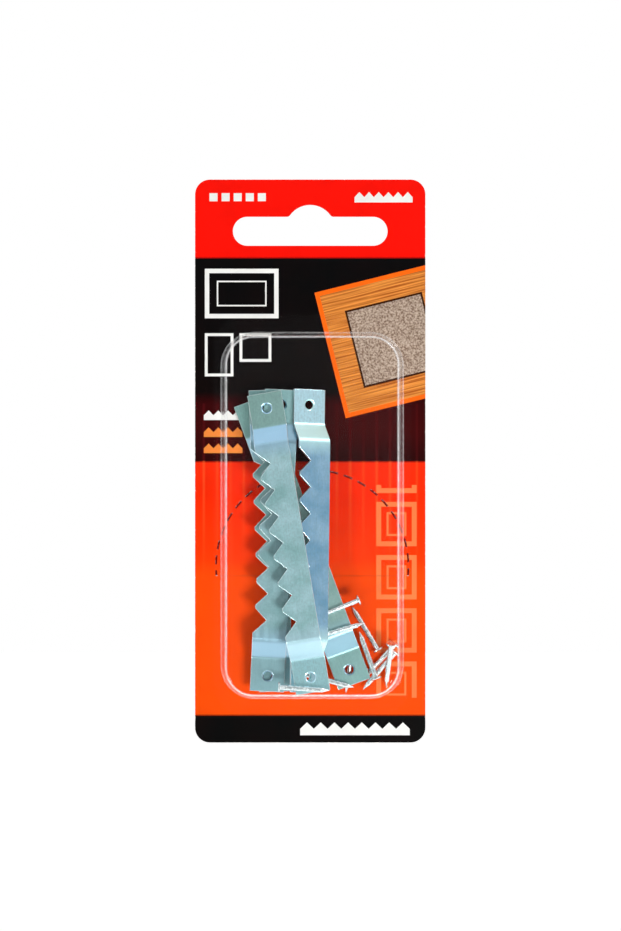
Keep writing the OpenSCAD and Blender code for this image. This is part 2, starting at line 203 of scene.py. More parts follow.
# %% Stripes
STRIPE_PITCH, STRIPE_HALF = 3.3, 0.5
STREAK_WIDTH, STREAK_LENGTH = 2.0, 250.0
FADE_FOOT, FADE_TOP = -95.0, -66.0
WARM_FIELD, MAROON_FIELD = ((0, -94.9), (40, 31.4)), ((0, -56.4), (40, 7.1))
from_stripe = add(board_tree, MATH, {0: across, 1: STRIPE_PITCH / 2}, operation="PINGPONG").outputs[0]
stripe = add(board_tree, RANGE, {0: from_stripe, 1: 0.0, 2: STRIPE_HALF, 3: 1.0, 4: 0.0}).outputs[0]
stretched = add(board_tree, MAPPING, {0: place, 3: (1 / STREAK_WIDTH, 0, 1 / STREAK_LENGTH)}).outputs[0]
uneven = add(board_tree, NOISE, {"Vector": stretched, "Scale": 1.0, "Detail": 1.0}).outputs[0]
uneven = add(board_tree, RANGE, {0: uneven, 1: 0.32, 2: 0.6, 3: 0.25, 4: 1.0}).outputs[0]
stripe = join_plates("MULTIPLY", stripe, uneven)
fade = add(board_tree, RANGE, {0: height, 1: FADE_FOOT, 2: FADE_TOP, 3: 0.0, 4: 1.0}).outputs[0]
warm_stripe = join_plates("MULTIPLY", stripe, fade, box_plate(*WARM_FIELD))
ink = inked(ink, warm_stripe, linear("#ff6a30"), 0.42)
ink = inked(ink, join_plates("MULTIPLY", stripe, box_plate(*MAROON_FIELD)), linear("#6a1218"), 0.35)
print("stripe pitch %.1f mm" % STRIPE_PITCH)

# %% [markdown]
# ### Plain motifs
# The card carries a plain design that says what the pack is for: small squares, outlined
# picture frames and rows of saw teeth. A row of teeth is a strip whose upper edge is a
# ping-pong of the place across. The squares are one square, repeated by wrapping that place.

# %% White and orange motifs
WHITE_INK, RIM_ORANGE, LIGHT_ORANGE = linear("#f2f2ee"), linear("#ff6a12"), linear("#f08a3c")
SQUARE_PITCH = 3.0


def row_of_teeth(left, right, foot, tall, pitch):
    """The plate of a strip whose upper edge is a row of teeth."""
    t = board_tree
    along = add(t, MATH, {0: across, 1: -left}, operation="ADD").outputs[0]
    wave = add(t, MATH, {0: along, 1: pitch / 2}, operation="PINGPONG").outputs[0]
    top = add(t, MATH, {0: wave, 1: tall / pitch, 2: foot + tall / 2}, operation="MULTIPLY_ADD").outputs[0]
    under = add(t, MATH, {0: height, 1: top}, operation="LESS_THAN").outputs[0]
    strip = box_plate(((left + right) / 2, foot + tall / 2), ((right - left) / 2, tall / 2))
    return join_plates("MULTIPLY", under, strip)


wrapped = add(board_tree, MATH, {0: across, 1: SQUARE_PITCH / 2, 2: -SQUARE_PITCH / 2}, operation="WRAP")
squares_at = add(board_tree, "ShaderNodeCombineXYZ", {0: wrapped.outputs[0], 2: height}).outputs[0]
white_motifs = [
    join_plates(
        "MULTIPLY",
        box_plate((0, 1.9), (1.0, 1.0), at=squares_at),
        box_plate((-18.0, 1.9), (7.5, 1.3)),
    ),
    row_of_teeth(left=11.0, right=25.4, foot=0.6, tall=2.6, pitch=2.4),
    box_plate((-17.0, -22.0), (8.6, 5.6), line=1.1),
    box_plate((-17.0, -22.0), (6.0, 3.0), line=0.35),
    box_plate((-22.6, -37.2), (3.2, 5.0), line=0.7),
    box_plate((-13.6, -35.4), (3.6, 3.2), line=0.7),
    row_of_teeth(left=-26.4, right=-16.8, foot=-53.4, tall=2.4, pitch=2.4),
    row_of_teeth(left=-2.5, right=24.7, foot=-131.6, tall=3.2, pitch=3.4),
]
orange_motifs = [
    row_of_teeth(left=-26.4, right=-16.8, foot=foot, tall=2.4, pitch=2.4) for foot in (-57.6, -61.6)
]
ink = inked(ink, join_plates("MAXIMUM", *white_motifs), WHITE_INK)
ink = inked(ink, join_plates("MAXIMUM", *orange_motifs), LIGHT_ORANGE)
print("white motifs", len(white_motifs), "orange motifs", len(orange_motifs))

# %% [markdown]
# ### The framed corner
# At the right stands a tilted picture frame in wood colours with an orange rim and a pale
# woven mount, cut off by the card's edge. Wood grain is noise stretched along the board: fine
# lines 0.4 mm apart across the grain and 20 mm long along it. The weave is noise in threads
# of 0.45 mm. Linen is somewhat finer, but at this size of picture it would turn to plain grey.

# %% Wood frame and woven mount
TILT, FRAME_MIDDLE, OUTER_HALF, INNER_HALF = 14.0, (20.5, -33.5), (15.5, 15.5), (9.6, 9.6)
GRAIN_LENGTH, GRAIN_WIDTH, THREAD = 20.0, 0.4167, 0.4545
grain_at = add(board_tree, "ShaderNodeVectorRotate", {"Vector": place, "Angle": math.radians(TILT)},
               rotation_type="Y_AXIS").outputs[0]
stretched = add(board_tree, MAPPING, {0: grain_at, 3: (1 / GRAIN_LENGTH, 0, 1 / GRAIN_WIDTH)}).outputs[0]
grain = add(board_tree, NOISE, {"Vector": stretched, "Scale": 1.0, "Detail": 3.0}).outputs[0]
weave = add(board_tree, NOISE, {"Vector": grain_at, "Scale": 1 / THREAD, "Detail": 3.0}).outputs[0]
wood = fill_ramp(add(board_tree, RAMP, {0: grain}), [(0.35, linear("#a8501c")), (0.62, linear("#ee9a44"))])
mount = fill_ramp(add(board_tree, RAMP, {0: weave}), [(0.36, linear("#7d6555")), (0.64, linear("#c8b4a2"))])
ink = inked(ink, box_plate(FRAME_MIDDLE, OUTER_HALF, turn=TILT), wood)
ink = inked(ink, box_plate(FRAME_MIDDLE, INNER_HALF, turn=TILT), mount)
ink = inked(ink, box_plate(FRAME_MIDDLE, INNER_HALF, line=0.5, turn=TILT), linear("#3a1c0c"))
ink = inked(ink, box_plate(FRAME_MIDDLE, OUTER_HALF, line=1.1, turn=TILT), RIM_ORANGE)
print("frame tilted by %.0f degrees" % TILT)

# %% [markdown]
# ### A column of pale frames
# Down the right of the warm field runs a column of large pale outlines. One frame repeats
# by wrapping the height, so a single plate draws them all.

# %% Column of frames
COLUMN_X, COLUMN_PITCH, COLUMN_MIDDLE, COLUMN_HALF = 21.4, 13.2, -95.9, 26.4
wrapped = add(board_tree, MATH, {0: height, 1: COLUMN_PITCH / 2, 2: -COLUMN_PITCH / 2}, operation="WRAP")
column_at = add(board_tree, "ShaderNodeCombineXYZ", {0: across, 2: wrapped.outputs[0]}).outputs[0]
one_frame = join_plates(
    "MAXIMUM",
    box_plate((COLUMN_X, 0.0), (4.4, 4.9), line=1.2, at=column_at),
    box_plate((COLUMN_X, 0.0), (2.2, 2.7), line=0.5, at=column_at),
)
column = join_plates("MULTIPLY", one_frame, box_plate((COLUMN_X, COLUMN_MIDDLE), (6.0, COLUMN_HALF)))
ink = inked(ink, column, linear("#fb8a4e"), 0.8)
print("frames in the column", round(2 * COLUMN_HALF / COLUMN_PITCH))

# %% [markdown]
# ### The dashed line
# Dark dashes are painted over the cuts of the door, a little wider than the cuts: painted
# shade of the slits. They follow the cuts exactly: the place is turned to polar coordinates
# about the door's centre, where a dash is a step in the angle and its width a step in the
# radius. The score line at the door's foot gets a faint dark line of its own, painted shade in
# its crease.

# %% Dashes over the cuts
DOOR_X, DOOR_Z, DOOR_R, SCORE_Z = 0.5, -89.67, 23.87, -92.03
TIE_TURN, TIE_HALF, FIRST_TIE, TIES = 9.0012, 1.8003, 0.627, 21  # the first three in degrees
DASH_HALF_WIDTH, CREASE_WIDTH, CREASE_HALF = 0.24, 0.3, 23.4
ABOVE, BELOW = 20, 5  # half heights of the boxes that stand on the score line and hang from it
from_x = add(board_tree, MATH, {0: across, 1: -DOOR_X}, operation="ADD").outputs[0]
from_z = add(board_tree, MATH, {0: height, 1: -DOOR_Z}, operation="ADD").outputs[0]
flat_place = add(board_tree, "ShaderNodeCombineXYZ", {0: from_x, 2: from_z}).outputs[0]
radius = add(board_tree, VECTOR_MATH, {0: flat_place}, operation="LENGTH").outputs["Value"]
on_cut = add(board_tree, MATH, {0: radius, 1: DOOR_R, 2: DASH_HALF_WIDTH}, operation="COMPARE").outputs[0]
turn = add(board_tree, MATH, {0: from_z, 1: from_x}, operation="ARCTAN2").outputs[0]
ties_passed = add(board_tree, MATH, {
    0: turn, 1: 180 / math.pi / TIE_TURN, 2: -FIRST_TIE / TIE_TURN,
}, operation="MULTIPLY_ADD").outputs[0]
beside_tie = add(board_tree, MATH, {0: ties_passed, 1: 0.5}, operation="PINGPONG").outputs[0]
dash = add(board_tree, MATH, {0: beside_tie, 1: TIE_HALF / TIE_TURN}, operation="GREATER_THAN").outputs[0]
above_score = box_plate((0, SCORE_Z + ABOVE), (30, ABOVE))
# Painted shade of the slits, dash by dash.
ink = inked(ink, join_plates("MULTIPLY", on_cut, dash, above_score), linear("#6a0500"))
# Painted shade in the crease of the score line.
crease_shade_line = box_plate((DOOR_X, SCORE_Z - BELOW), (CREASE_HALF, BELOW), line=CREASE_WIDTH)
crease_strip = box_plate((DOOR_X, SCORE_Z), (CREASE_HALF - 0.2, 0.4))
ink = inked(ink, join_plates("MULTIPLY", crease_shade_line, crease_strip), linear("#9a1c00"), 0.3)
print("dash %.1f mm, gap %.1f mm" % (
    DOOR_R * math.radians(TIE_TURN - 2 * TIE_HALF), DOOR_R * math.radians(2 * TIE_HALF)))

# %% [markdown]
# ### The printed face and its wear
# Ink lies on coated paper, which is never quite even: a cloudiness of about 8 mm darkens it by
# a few per cent. A single paper fibre is 0.02 mm thick, too fine to show, so the fibres are
# drawn as tufts of 0.6 mm. At the rim the ink chips a little and shows the board. The chips
# are the places where the fibre noise, raised near the rim, passes a limit.

# %% Printed face
CARD_MIDDLE, CARD_HALF = (0, -63.57), (28.575, 69.85)
FIBRE_TUFT, PAPER_CLOUD = 0.625, 8.333
CHIP_REACH, CHIP_LIMIT = 0.25, 0.93
fibre = add(board_tree, NOISE, {
    "Vector": place, "Scale": 1 / FIBRE_TUFT, "Detail": 4.0, "Roughness": 0.6,
}).outputs[0]
clouds = add(board_tree, NOISE, {"Vector": place, "Scale": 1 / PAPER_CLOUD, "Detail": 2.0}).outputs[0]
shade = add(board_tree, RANGE, {0: clouds, 1: 0.3, 2: 0.7, 3: 0.0, 4: 0.09}).outputs[0]
near_rim = add(board_tree, RANGE, {
    0: box_distance(CARD_MIDDLE, CARD_HALF), 1: -CHIP_REACH, 2: 0.0, 3: 0.0, 4: 0.40,
}).outputs[0]
raised = add(board_tree, MATH, {0: near_rim, 1: fibre}, operation="ADD").outputs[0]
chipped = add(board_tree, MATH, {0: raised, 1: CHIP_LIMIT}, operation="GREATER_THAN").outputs[0]
face_ink = inked(ink, shade, linear("#2a0a06"))
face_ink = inked(face_ink, chipped, linear("#d9cfc2"))
print("chips reach %.2f mm in from the rim" % CHIP_REACH)

# %% [markdown]
# ### The bare back
# The board is solid bleached board, so the back and the cut edges are a warm white with cloudy
# patches and a pulp grain of 0.4 mm. A few darker fibre flecks, about 1 mm wide and 0.3 mm
# high, lie in it: they are the peaks of a bent noise that is stretched sideways.

# %% Bare back
PULP_GRAIN, FLECK_WIDTH, FLECK_HEIGHT = 0.3846, 1.111, 0.3125
pulp = add(board_tree, NOISE, {"Vector": place, "Scale": 1 / PULP_GRAIN, "Detail": 5.0}).outputs[0]
back_paper = fill_ramp(add(board_tree, RAMP, {0: pulp}), [(0.3, linear("#cfc9bc")), (0.7, linear("#dedace"))])
blotches = add(board_tree, RANGE, {0: clouds, 1: 0.35, 2: 0.65, 3: 0.0, 4: 0.35}).outputs[0]
back_paper = inked(back_paper, blotches, linear("#c2bbac"))
fleck_at = add(board_tree, MAPPING, {
    0: place, 2: (0, 0.6, 0), 3: (1 / FLECK_WIDTH, 0, 1 / FLECK_HEIGHT),
}).outputs[0]
flecks = add(board_tree, NOISE, {
    "Vector": fleck_at, "Scale": 1.0, "Detail": 2.0, "Distortion": 1.2,
}).outputs[0]
flecks = add(board_tree, RANGE, {0: flecks, 1: 0.68, 2: 0.74, 3: 0.0, 4: 0.6}).outputs[0]
back_paper = inked(back_paper, flecks, linear("#8f8676"))
print("flecks %.1f mm wide, %.1f mm high" % (FLECK_WIDTH, FLECK_HEIGHT))

# %% [markdown]
# ### Printed board as one material
# Depth through the sheet tells the printed face from the bare board, so one material serves
# both. The coated face is satin, the bare board matt, and both break up a reflection a little
# through the bump of their fibres. Paper's IOR is about 1.5. Its mirror share is set low,
# because soft light from all around would lie as a grey veil on the dark inks.

# %% Printed board
FACE_FROM = -0.53  # the ink belongs to the outermost 0.02 mm
BARE_ROUGH, INKED_ROUGH, PAPER_IOR, MIRROR_SHARE = 0.85, 0.32, 1.5, 0.06
front_side = add(board_tree, MATH, {0: depth, 1: FACE_FROM}, operation="LESS_THAN").outputs[0]
surface = inked(back_paper, front_side, face_ink)
board_rough = add(board_tree, RANGE, {
    0: front_side, 1: 0.0, 2: 1.0, 3: BARE_ROUGH, 4: INKED_ROUGH,
}).outputs[0]
paper_bump = add(board_tree, BUMP, {"Height": fibre, "Strength": 0.12, "Distance": 0.02 * MM}).outputs[0]
board_shader = add(board_tree, "ShaderNodeBsdfPrincipled", {
    "Base Color": surface, "Roughness": board_rough, "IOR": PAPER_IOR,
    "Specular IOR Level": MIRROR_SHARE, "Normal": paper_bump,
})
add(board_tree, OUTPUT, {0: board_shader.outputs[0]})


def finish_nodes(names, material):
    """Gives CAD nodes a better material, in the slots that they have."""
    for name in names:
        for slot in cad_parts[name].material_slots:
            slot.material = material


finish_nodes(("backing_card", "card_door"), board)
print("nodes in the print", len(board_tree.nodes))

# %% [markdown]
# ### The varnish over the ink
# The blister's flange lies face to face on the board, and two faces in one place flicker in a
# render. A real card has a film of heat-seal varnish over the ink, which is what the flange
# grips. Here it is a skin 0.01 mm in front of the board, cut from the front faces of the board
# and of its door, so it keeps their outlines and the door's skin swings with the door.

# %% Varnished faces
import bmesh

VARNISH = 0.01 * MM
FACES_FRONT, NEAR_FACE = -0.9, 0.05 * MM


def varnished_face(node, body):
    skin = bmesh.new()
    skin.from_mesh(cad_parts[node].data)
    for face in skin.faces:
        face.normal_update()
    rest = [
        face for face in skin.faces
        if face.normal.y > FACES_FRONT or face.calc_center_median().y > CARD_FACE + NEAR_FACE
    ]
    bmesh.ops.delete(skin, geom=rest, context="FACES")
    bmesh.ops.translate(skin, verts=skin.verts, vec=(0, -VARNISH, 0))
    mesh = bpy.data.meshes.new("varnish_" + node)
    skin.to_mesh(mesh)
    skin.free()
    made = bpy.data.objects.new("varnish_" + node, mesh)
    bpy.context.scene.collection.objects.link(made)
    mesh.materials.append(board)
    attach(made, body)
    print("varnish on", node, len(mesh.polygons), "faces")


varnished_face("backing_card", "pack")
varnished_face("card_door", "door")

# %% [markdown]
# ## The perforation and the score line
# A steel rule pressed through board doesn't take a strip out: it crushes the fibres, and the
# cut shows as a dark dash. The model leaves real gaps, because the door has to swing, so thin
# closed strips fill them. Dark fibre fills the cuts, dash by dash: crushed fibre in part, and
# in part painted shade of the slit. The hair's breadth at the ties, where the board is whole,
# and the crease of the score line are filled in the board's own colours. The strips are built
# point by point, because their places follow the door.

# %% A strip that fills a gap
def gap_filler(name, runs, body, front, back):
    """A closed strip for each run: pairs of inner and outer points in the card's plane."""
    points, faces = [], []
    for run in runs:
        base, count = len(points), len(run)
        for inner, outer in run:
            for (x, z), y in ((inner, front), (outer, front), (outer, back), (inner, back)):
                points.append((x * MM, y * MM, z * MM))
        for k in range(count - 1):
            here, there = base + 4 * k, base + 4 * k + 4
            for j in range(4):
                faces.append((here + j, here + (j + 1) % 4, there + (j + 1) % 4, there + j))
        faces.append(tuple(base + j for j in (3, 2, 1, 0)))
        faces.append(tuple(base + 4 * (count - 1) + j for j in (0, 1, 2, 3)))
    mesh = bpy.data.meshes.new(name)
    mesh.from_pydata(points, [], faces)
    made = bpy.data.objects.new(name, mesh)
    bpy.context.scene.collection.objects.link(made)
    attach(made, body)
    return made


def on_arc(radius, turn):
    return (DOOR_X + radius * math.cos(math.radians(turn)), DOOR_Z + radius * math.sin(math.radians(turn)))


print("door's arc starts at", [round(v, 2) for v in on_arc(DOOR_R, 0.0)])

# %% [markdown]
# ### Dashes, crease and ties
# The cuts are 0.3 mm wide. Their filler rides on the door, keeps clear of the card by some
# hundredths of a millimetre and has a slightly wavy outer edge, as crushed fibre has. It lies
# a little below the face, so that the print stays in front, and so do the other fillers.

# %% Fillers of the cuts, the crease and the ties
ARC_START, ARC_END, DASH_CLEAR, DASH_STEPS = -5.4, 185.4, 0.05, 8  # degrees, and steps in a dash
CUT_INNER, CUT_OUTER, WAVE, WAVES_PER_DEGREE = -0.148, 0.125, 0.012, 7.1
TIE_INNER, TIE_OUTER, TIE_LAP = 0.103, 0.147, 0.06
CREASE_LOW, CREASE_HIGH, CREASE_CLEAR, CREASE_STEPS = 0.002, 0.045, 0.3, 12
CUT_DEPTH, FILL_DEPTH = (-0.53, -0.06), (-0.545, -0.01)
dashes, ties = [], []
for k in range(-1, TIES):
    start = max(ARC_START, FIRST_TIE + k * TIE_TURN + TIE_HALF + DASH_CLEAR)
    end = min(ARC_END, FIRST_TIE + (k + 1) * TIE_TURN - TIE_HALF - DASH_CLEAR)
    turns = [start + (end - start) * j / DASH_STEPS for j in range(DASH_STEPS + 1)]
    dashes.append([
        (on_arc(DOOR_R + CUT_INNER, t), on_arc(DOOR_R + CUT_OUTER + WAVE * math.sin(WAVES_PER_DEGREE * t), t))
        for t in turns
    ])
cut_fibre_and_shade = gap_filler("cut_fibre_and_shade", dashes, "door", *CUT_DEPTH)
crease_half = math.sqrt(DOOR_R ** 2 - (SCORE_Z - DOOR_Z) ** 2) - CREASE_CLEAR
crease_xs = [DOOR_X + crease_half * (k / CREASE_STEPS - 1) for k in range(2 * CREASE_STEPS + 1)]
crease_run = [((x, SCORE_Z + CREASE_LOW), (x, SCORE_Z + CREASE_HIGH)) for x in crease_xs]
crease = gap_filler("score_crease", [crease_run], "pack", *FILL_DEPTH)
for k in range(TIES):
    middle = FIRST_TIE + k * TIE_TURN
    turns = [middle + (TIE_HALF + TIE_LAP) * j / 2 for j in range(-2, 3)]
    ties.append([(on_arc(DOOR_R + TIE_INNER, t), on_arc(DOOR_R + TIE_OUTER, t)) for t in turns])
tie_fibre = gap_filler("tie_fibre", ties, "door", *FILL_DEPTH)
whole_dash = dashes[1]
print("dashes", len(dashes), "each about %.1f mm long" % math.dist(whole_dash[0][1], whole_dash[-1][1]))

# %% [markdown]
# ### Crushed fibre and painted slit shade
# Board that a steel rule has crushed is matt and stringy, and the red ink has run into it. To
# the eye it is a dark red line that never shines; much of that dark is the shade in the slit,
# painted into this filler's colour. Real strands are some 0.02 mm thick, too fine to show, so
# they are drawn as tufts of 0.3 mm.

# %% Crushed fibre and painted slit shade
STRAND_TUFT = 0.2857 * MM
fibre_and_slit_shade, ft = new_material("crushed_fibre_and_slit_shade")
fibre_at = add(ft, COORDINATES).outputs["Object"]
strands = add(ft, NOISE, {"Vector": fibre_at, "Scale": 1 / STRAND_TUFT, "Detail": 4.0}).outputs[0]
strand_tone = fill_ramp(add(ft, RAMP, {0: strands}), [(0.35, linear("#5a0400")), (0.75, linear("#8e1206"))])
strand_bump = add(ft, BUMP, {"Height": strands, "Strength": 0.5, "Distance": 0.05 * MM}).outputs[0]
strand_shader = add(ft, "ShaderNodeBsdfPrincipled", {
    "Base Color": strand_tone, "Roughness": 0.95, "Specular IOR Level": 0.1, "Normal": strand_bump,
})
add(ft, OUTPUT, {0: strand_shader.outputs[0]})
# The cut filler's dark red is painted shade of the slit in part.
for piece, finish in ((cut_fibre_and_shade, fibre_and_slit_shade), (crease, board), (tie_fibre, board)):
    piece.data.materials.append(finish)
print("fillers", cut_fibre_and_shade.name, crease.name, tie_fibre.name)

# %% [markdown]
# ## Zinc-plated steel
# The hangers are stamped from cold-rolled strip, zinc plated and passivated. The eye gets a
# satin metal with a soft blue-green cast, which varies from piece to piece, and on it fine
# lengthwise rolling marks, dull patches and a little grime. The bends and the strip near them
# get a brighter tone, a painted highlight for the light that the bends catch, and the tabs get
# tones of their own, painted lighter or darker for how the light falls on them. The punch left
# bright sheared edges, and their burnished rim is painted near white as a highlight.
#
# To put each of these where it belongs, the material needs to know how its hanger lies. Two
# directions tell: the one out of its sheet and the one along its strip. Measured along them,
# the mesh gives the level halfway between tabs and middle, and where the bends are.

# %% How a hanger lies
HANGER_TURNS = {  # pitch, roll and tilt in degrees, the same that the CAD model gives them
    "hanger_1": (-4.2, -5, 9.7), "hanger_2": (-3.0, 26, -2.0), "hanger_3": (-1.8, 0, 20.3),
    "hanger_4": (0.4, 0, 2.0), "hanger_5": (0.4, 0, -2.9),
}


def sheet_directions(node):
    """The directions out of a hanger's sheet and along its strip."""
    turn = Euler([math.radians(a) for a in HANGER_TURNS[node]], "XYZ").to_matrix()
    standing = Euler((math.radians(90), 0, 0), "XYZ").to_matrix()
    return standing @ turn @ Vector((0, 0, 1)), standing @ turn @ Vector((0, 1, 0))


def sheet_levels(node):
    """The level halfway up the bends, the strip's middle, and half the raised part's length."""
    out, lengthwise = sheet_directions(node)
    corners = [corner.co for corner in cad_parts[node].data.vertices]
    levels, reaches = [c.dot(out) for c in corners], [c.dot(lengthwise) for c in corners]
    halfway, middle = (min(levels) + max(levels)) / 2, (min(reaches) + max(reaches)) / 2
    top = max(levels) - 0.1 * MM
    return halfway, middle, max(abs(r - middle) for r, level in zip(reaches, levels) if level > top)


for name in HANGER_TURNS:
    print(name, "raised part %.1f mm long" % (2 * sheet_levels(name)[2] / MM))

# %% [markdown]
# ### Bends, tabs and edges
# Each mask is a range. How far a face turns from the sheet tells bends and cut edges. The
# level out of the sheet tells the tabs, and the place along the strip tells where the painted
# highlight of the bends reaches: from 4 mm before each bend to 5 mm after it.

# %% Bends, tabs and edges
SHEEN_BEFORE, SHEEN_AFTER = 4 * MM, 5 * MM


def bend_tab_and_edge_masks(t, node, coords):
    """Masks of a hanger's tabs, bends, cut edges and upper end."""
    out, lengthwise = sheet_directions(node)
    halfway, middle, raised_half = sheet_levels(node)
    facing, along, level = (
        add(t, VECTOR_MATH, {0: coords[seen], 1: tuple(way)}, operation="DOT_PRODUCT").outputs["Value"]
        for seen, way in (("Normal", out), ("Object", lengthwise), ("Object", out))
    )
    facing = add(t, MATH, {0: facing}, operation="ABSOLUTE").outputs[0]
    from_middle = add(t, MATH, {0: along, 1: middle}, operation="SUBTRACT").outputs[0]
    from_middle = add(t, MATH, {0: from_middle}, operation="ABSOLUTE").outputs[0]
    cut = add(t, RANGE, {0: facing, 1: 0.35, 2: 0.15, 3: 0.0, 4: 1.0}).outputs[0]
    sloping = add(t, RANGE, {0: facing, 1: 0.985, 2: 0.90, 3: 0.0, 4: 0.9}).outputs[0]
    # The painted highlight of a bend fades out along the strip on both sides of it.
    sheen = add(t, RANGE, {
        0: from_middle, 1: raised_half - SHEEN_BEFORE, 2: raised_half, 3: 0.0, 4: 0.7,
    }).outputs[0]
    past_sheen = add(t, RANGE, {
        0: from_middle, 1: raised_half, 2: raised_half + SHEEN_AFTER, 3: 1.0, 4: 0.0,
    }).outputs[0]
    sheen = add(t, MATH, {0: sheen, 1: past_sheen}, operation="MULTIPLY").outputs[0]
    bend = add(t, MATH, {0: sloping, 1: sheen}, operation="MAXIMUM").outputs[0]
    # The tab mask carries the tabs' painted light, lighter or darker for how light falls there.
    tab = add(t, RANGE, {0: level, 1: halfway, 2: halfway - 0.4 * MM, 3: 0.0, 4: 0.85}).outputs[0]
    # Upper and lower end get tones of their own, painted for how the light falls on each end.
    upper_end = add(t, RANGE, {0: along, 1: middle - 1 * MM, 2: middle + 1 * MM, 3: 0.0, 4: 1.0}).outputs[0]
    return tab, bend, cut, upper_end


print("rubbed over %.0f mm at each bend" % ((SHEEN_BEFORE + SHEEN_AFTER) / MM))

# %% [markdown]
# ### The metal
# Steel keeps the default IOR and is fully metallic. Its roughness of 0.28 to 0.40 is that of a
# satin plated strip. Real rolling marks are some 0.01 mm apart, too fine to show, so they are
# drawn 0.2 mm apart and 17 mm long. The clouds of the passivation bath are 7 mm, the specks of
# grime 0.5 mm. The bends and tabs are painted a little lighter or bluer at one end than at the
# other, for how the light falls on the upper and the lower end. The Bevel node rounds the
# corners for the light alone, and where it turns the face most lies the burnished edge,
# smoother than the rest and painted near white as a highlight.

# %% Zinc-plated steel
MARK_GAP, MARK_LENGTH, BATH_CLOUD, SPECK = 0.2 * MM, 16.67 * MM, 6.667 * MM, 0.5263 * MM
SATIN, BURNISHED_ROUGH, EDGE_RADIUS = (0.28, 0.40), 0.18, 0.22 * MM
GRIME, SHEARED, BURNISHED_HIGHLIGHT = linear("#6f8a8c"), linear("#e4f2f6"), linear("#f6feff")


def zinc_plated_steel(node, tones, bend_sheen_tones, tab_light_tones):
    """A hanger's metal. The last two pairs are painted-light tones of its upper and its lower end."""
    material, t = new_material("zinc_plated_steel_" + node[-1])
    coords = add(t, COORDINATES).outputs
    own = add(t, "ShaderNodeVectorRotate", {
        "Vector": coords["Object"], "Axis": (0, 1, 0), "Angle": math.radians(HANGER_TURNS[node][2]),
    }).outputs[0]
    stretched = add(t, MAPPING, {0: own, 3: (1 / MARK_GAP, 1 / MARK_GAP, 1 / MARK_LENGTH)}).outputs[0]
    marks = add(t, NOISE, {"Vector": stretched, "Scale": 1.0, "Detail": 2.0}).outputs[0]
    clouds = add(t, NOISE, {
        "Vector": own, "Scale": 1 / BATH_CLOUD, "Detail": 5.0, "Roughness": 0.62,
    }).outputs[0]
    specks = add(t, NOISE, {"Vector": own, "Scale": 1 / SPECK, "Detail": 3.0}).outputs[0]
    zinc = fill_ramp(add(t, RAMP, {0: clouds}), [(0.36, linear(tones[0])), (0.66, linear(tones[1]))])
    tab, bend, cut, upper_end = bend_tab_and_edge_masks(t, node, coords)
    grime = add(t, MATH, {0: specks, 1: marks}, operation="MULTIPLY").outputs[0]
    grime = add(t, RANGE, {0: grime, 1: 0.16, 2: 0.40, 3: 0.0, 4: 0.30}).outputs[0]
    rounded = add(t, "ShaderNodeBevel", {"Radius": EDGE_RADIUS}, samples=8).outputs[0]
    true_face = add(t, "ShaderNodeNewGeometry").outputs["Normal"]
    turned = add(t, VECTOR_MATH, {0: rounded, 1: true_face}, operation="DOT_PRODUCT").outputs["Value"]
    # Near-white on the burnished rim is a painted highlight along every edge, over bright steel.
    burnished_highlight = add(t, RANGE, {0: turned, 1: 0.99, 2: 0.88, 3: 0.0, 4: 1.0}).outputs[0]

    # Each tone is laid over the ones before it: the tabs' painted light, grime, the bends'
    # painted highlight, the sheared edges and the painted highlight of their burnished rim.
    bend_sheen_tone, tab_light_tone = (
        add(t, MIX, {0: upper_end, 6: linear(lower), 7: linear(upper)}, data_type="RGBA").outputs[2]
        for upper, lower in (bend_sheen_tones, tab_light_tones)
    )
    colour = zinc
    layers = (tab, tab_light_tone), (grime, GRIME), (bend, bend_sheen_tone), (cut, SHEARED), (burnished_highlight, BURNISHED_HIGHLIGHT)
    for mask, tone in layers:
        colour = add(t, MIX, {0: mask, 6: colour, 7: tone}, data_type="RGBA").outputs[2]
    rough = add(t, RANGE, {0: marks, 1: 0.3, 2: 0.7, 3: SATIN[0], 4: SATIN[1]}).outputs[0]
    rough = add(t, MIX, {0: burnished_highlight, 2: rough, 3: BURNISHED_ROUGH}).outputs[0]
    relief = add(t, MATH, {0: marks, 1: clouds}, operation="ADD").outputs[0]
    bump = add(t, BUMP, {
        "Height": relief, "Strength": 0.15, "Distance": 0.02 * MM, "Normal": rounded,
    }).outputs[0]
    shader = add(t, "ShaderNodeBsdfPrincipled", {
        "Base Color": colour, "Metallic": 1.0, "Roughness": rough, "Normal": bump,
    })
    add(t, OUTPUT, {0: shader.outputs[0]})
    return material


print("sheared edges round off by %.2f mm" % (EDGE_RADIUS / MM))

# %% [markdown]
# ### The five hangers
# Each hanger has a tone of its own, set to how it looks where it lies, so part of the
# difference between them is painted light. Its colours go in pairs: the darker and the lighter
# side of its clouds, then the painted light of its upper and lower bend and of its upper and
# lower tab.

# %% The five hangers
HANGER_TONES = {
    "hanger_1": (("#a2d4d6", "#c8f2fa"), ("#a7d2f0", "#c4e8f6"), ("#9bc6be", "#afe2e9")),
    "hanger_2": (("#78a9c9", "#9cc5e0"), ("#d4ffff", "#d4ffff"), ("#ccf4ff", "#ccf4ff")),
    "hanger_3": (("#8bb2ad", "#a4c8c3"), ("#a0c9dc", "#97c0d3"), ("#94c4be", "#8eb9b6")),
    "hanger_4": (("#7fabaa", "#9ac2c2"), ("#9cc2d8", "#98bdd2"), ("#9ccccc", "#86adb4")),
    "hanger_5": (("#82abae", "#a1c6cd"), ("#9cc2d8", "#98bdd2"), ("#9ccccc", "#86adb4")),
}
for name, tones in HANGER_TONES.items():
    finish_nodes([name], zinc_plated_steel(name, *tones))
print("hangers finished", len(HANGER_TONES))

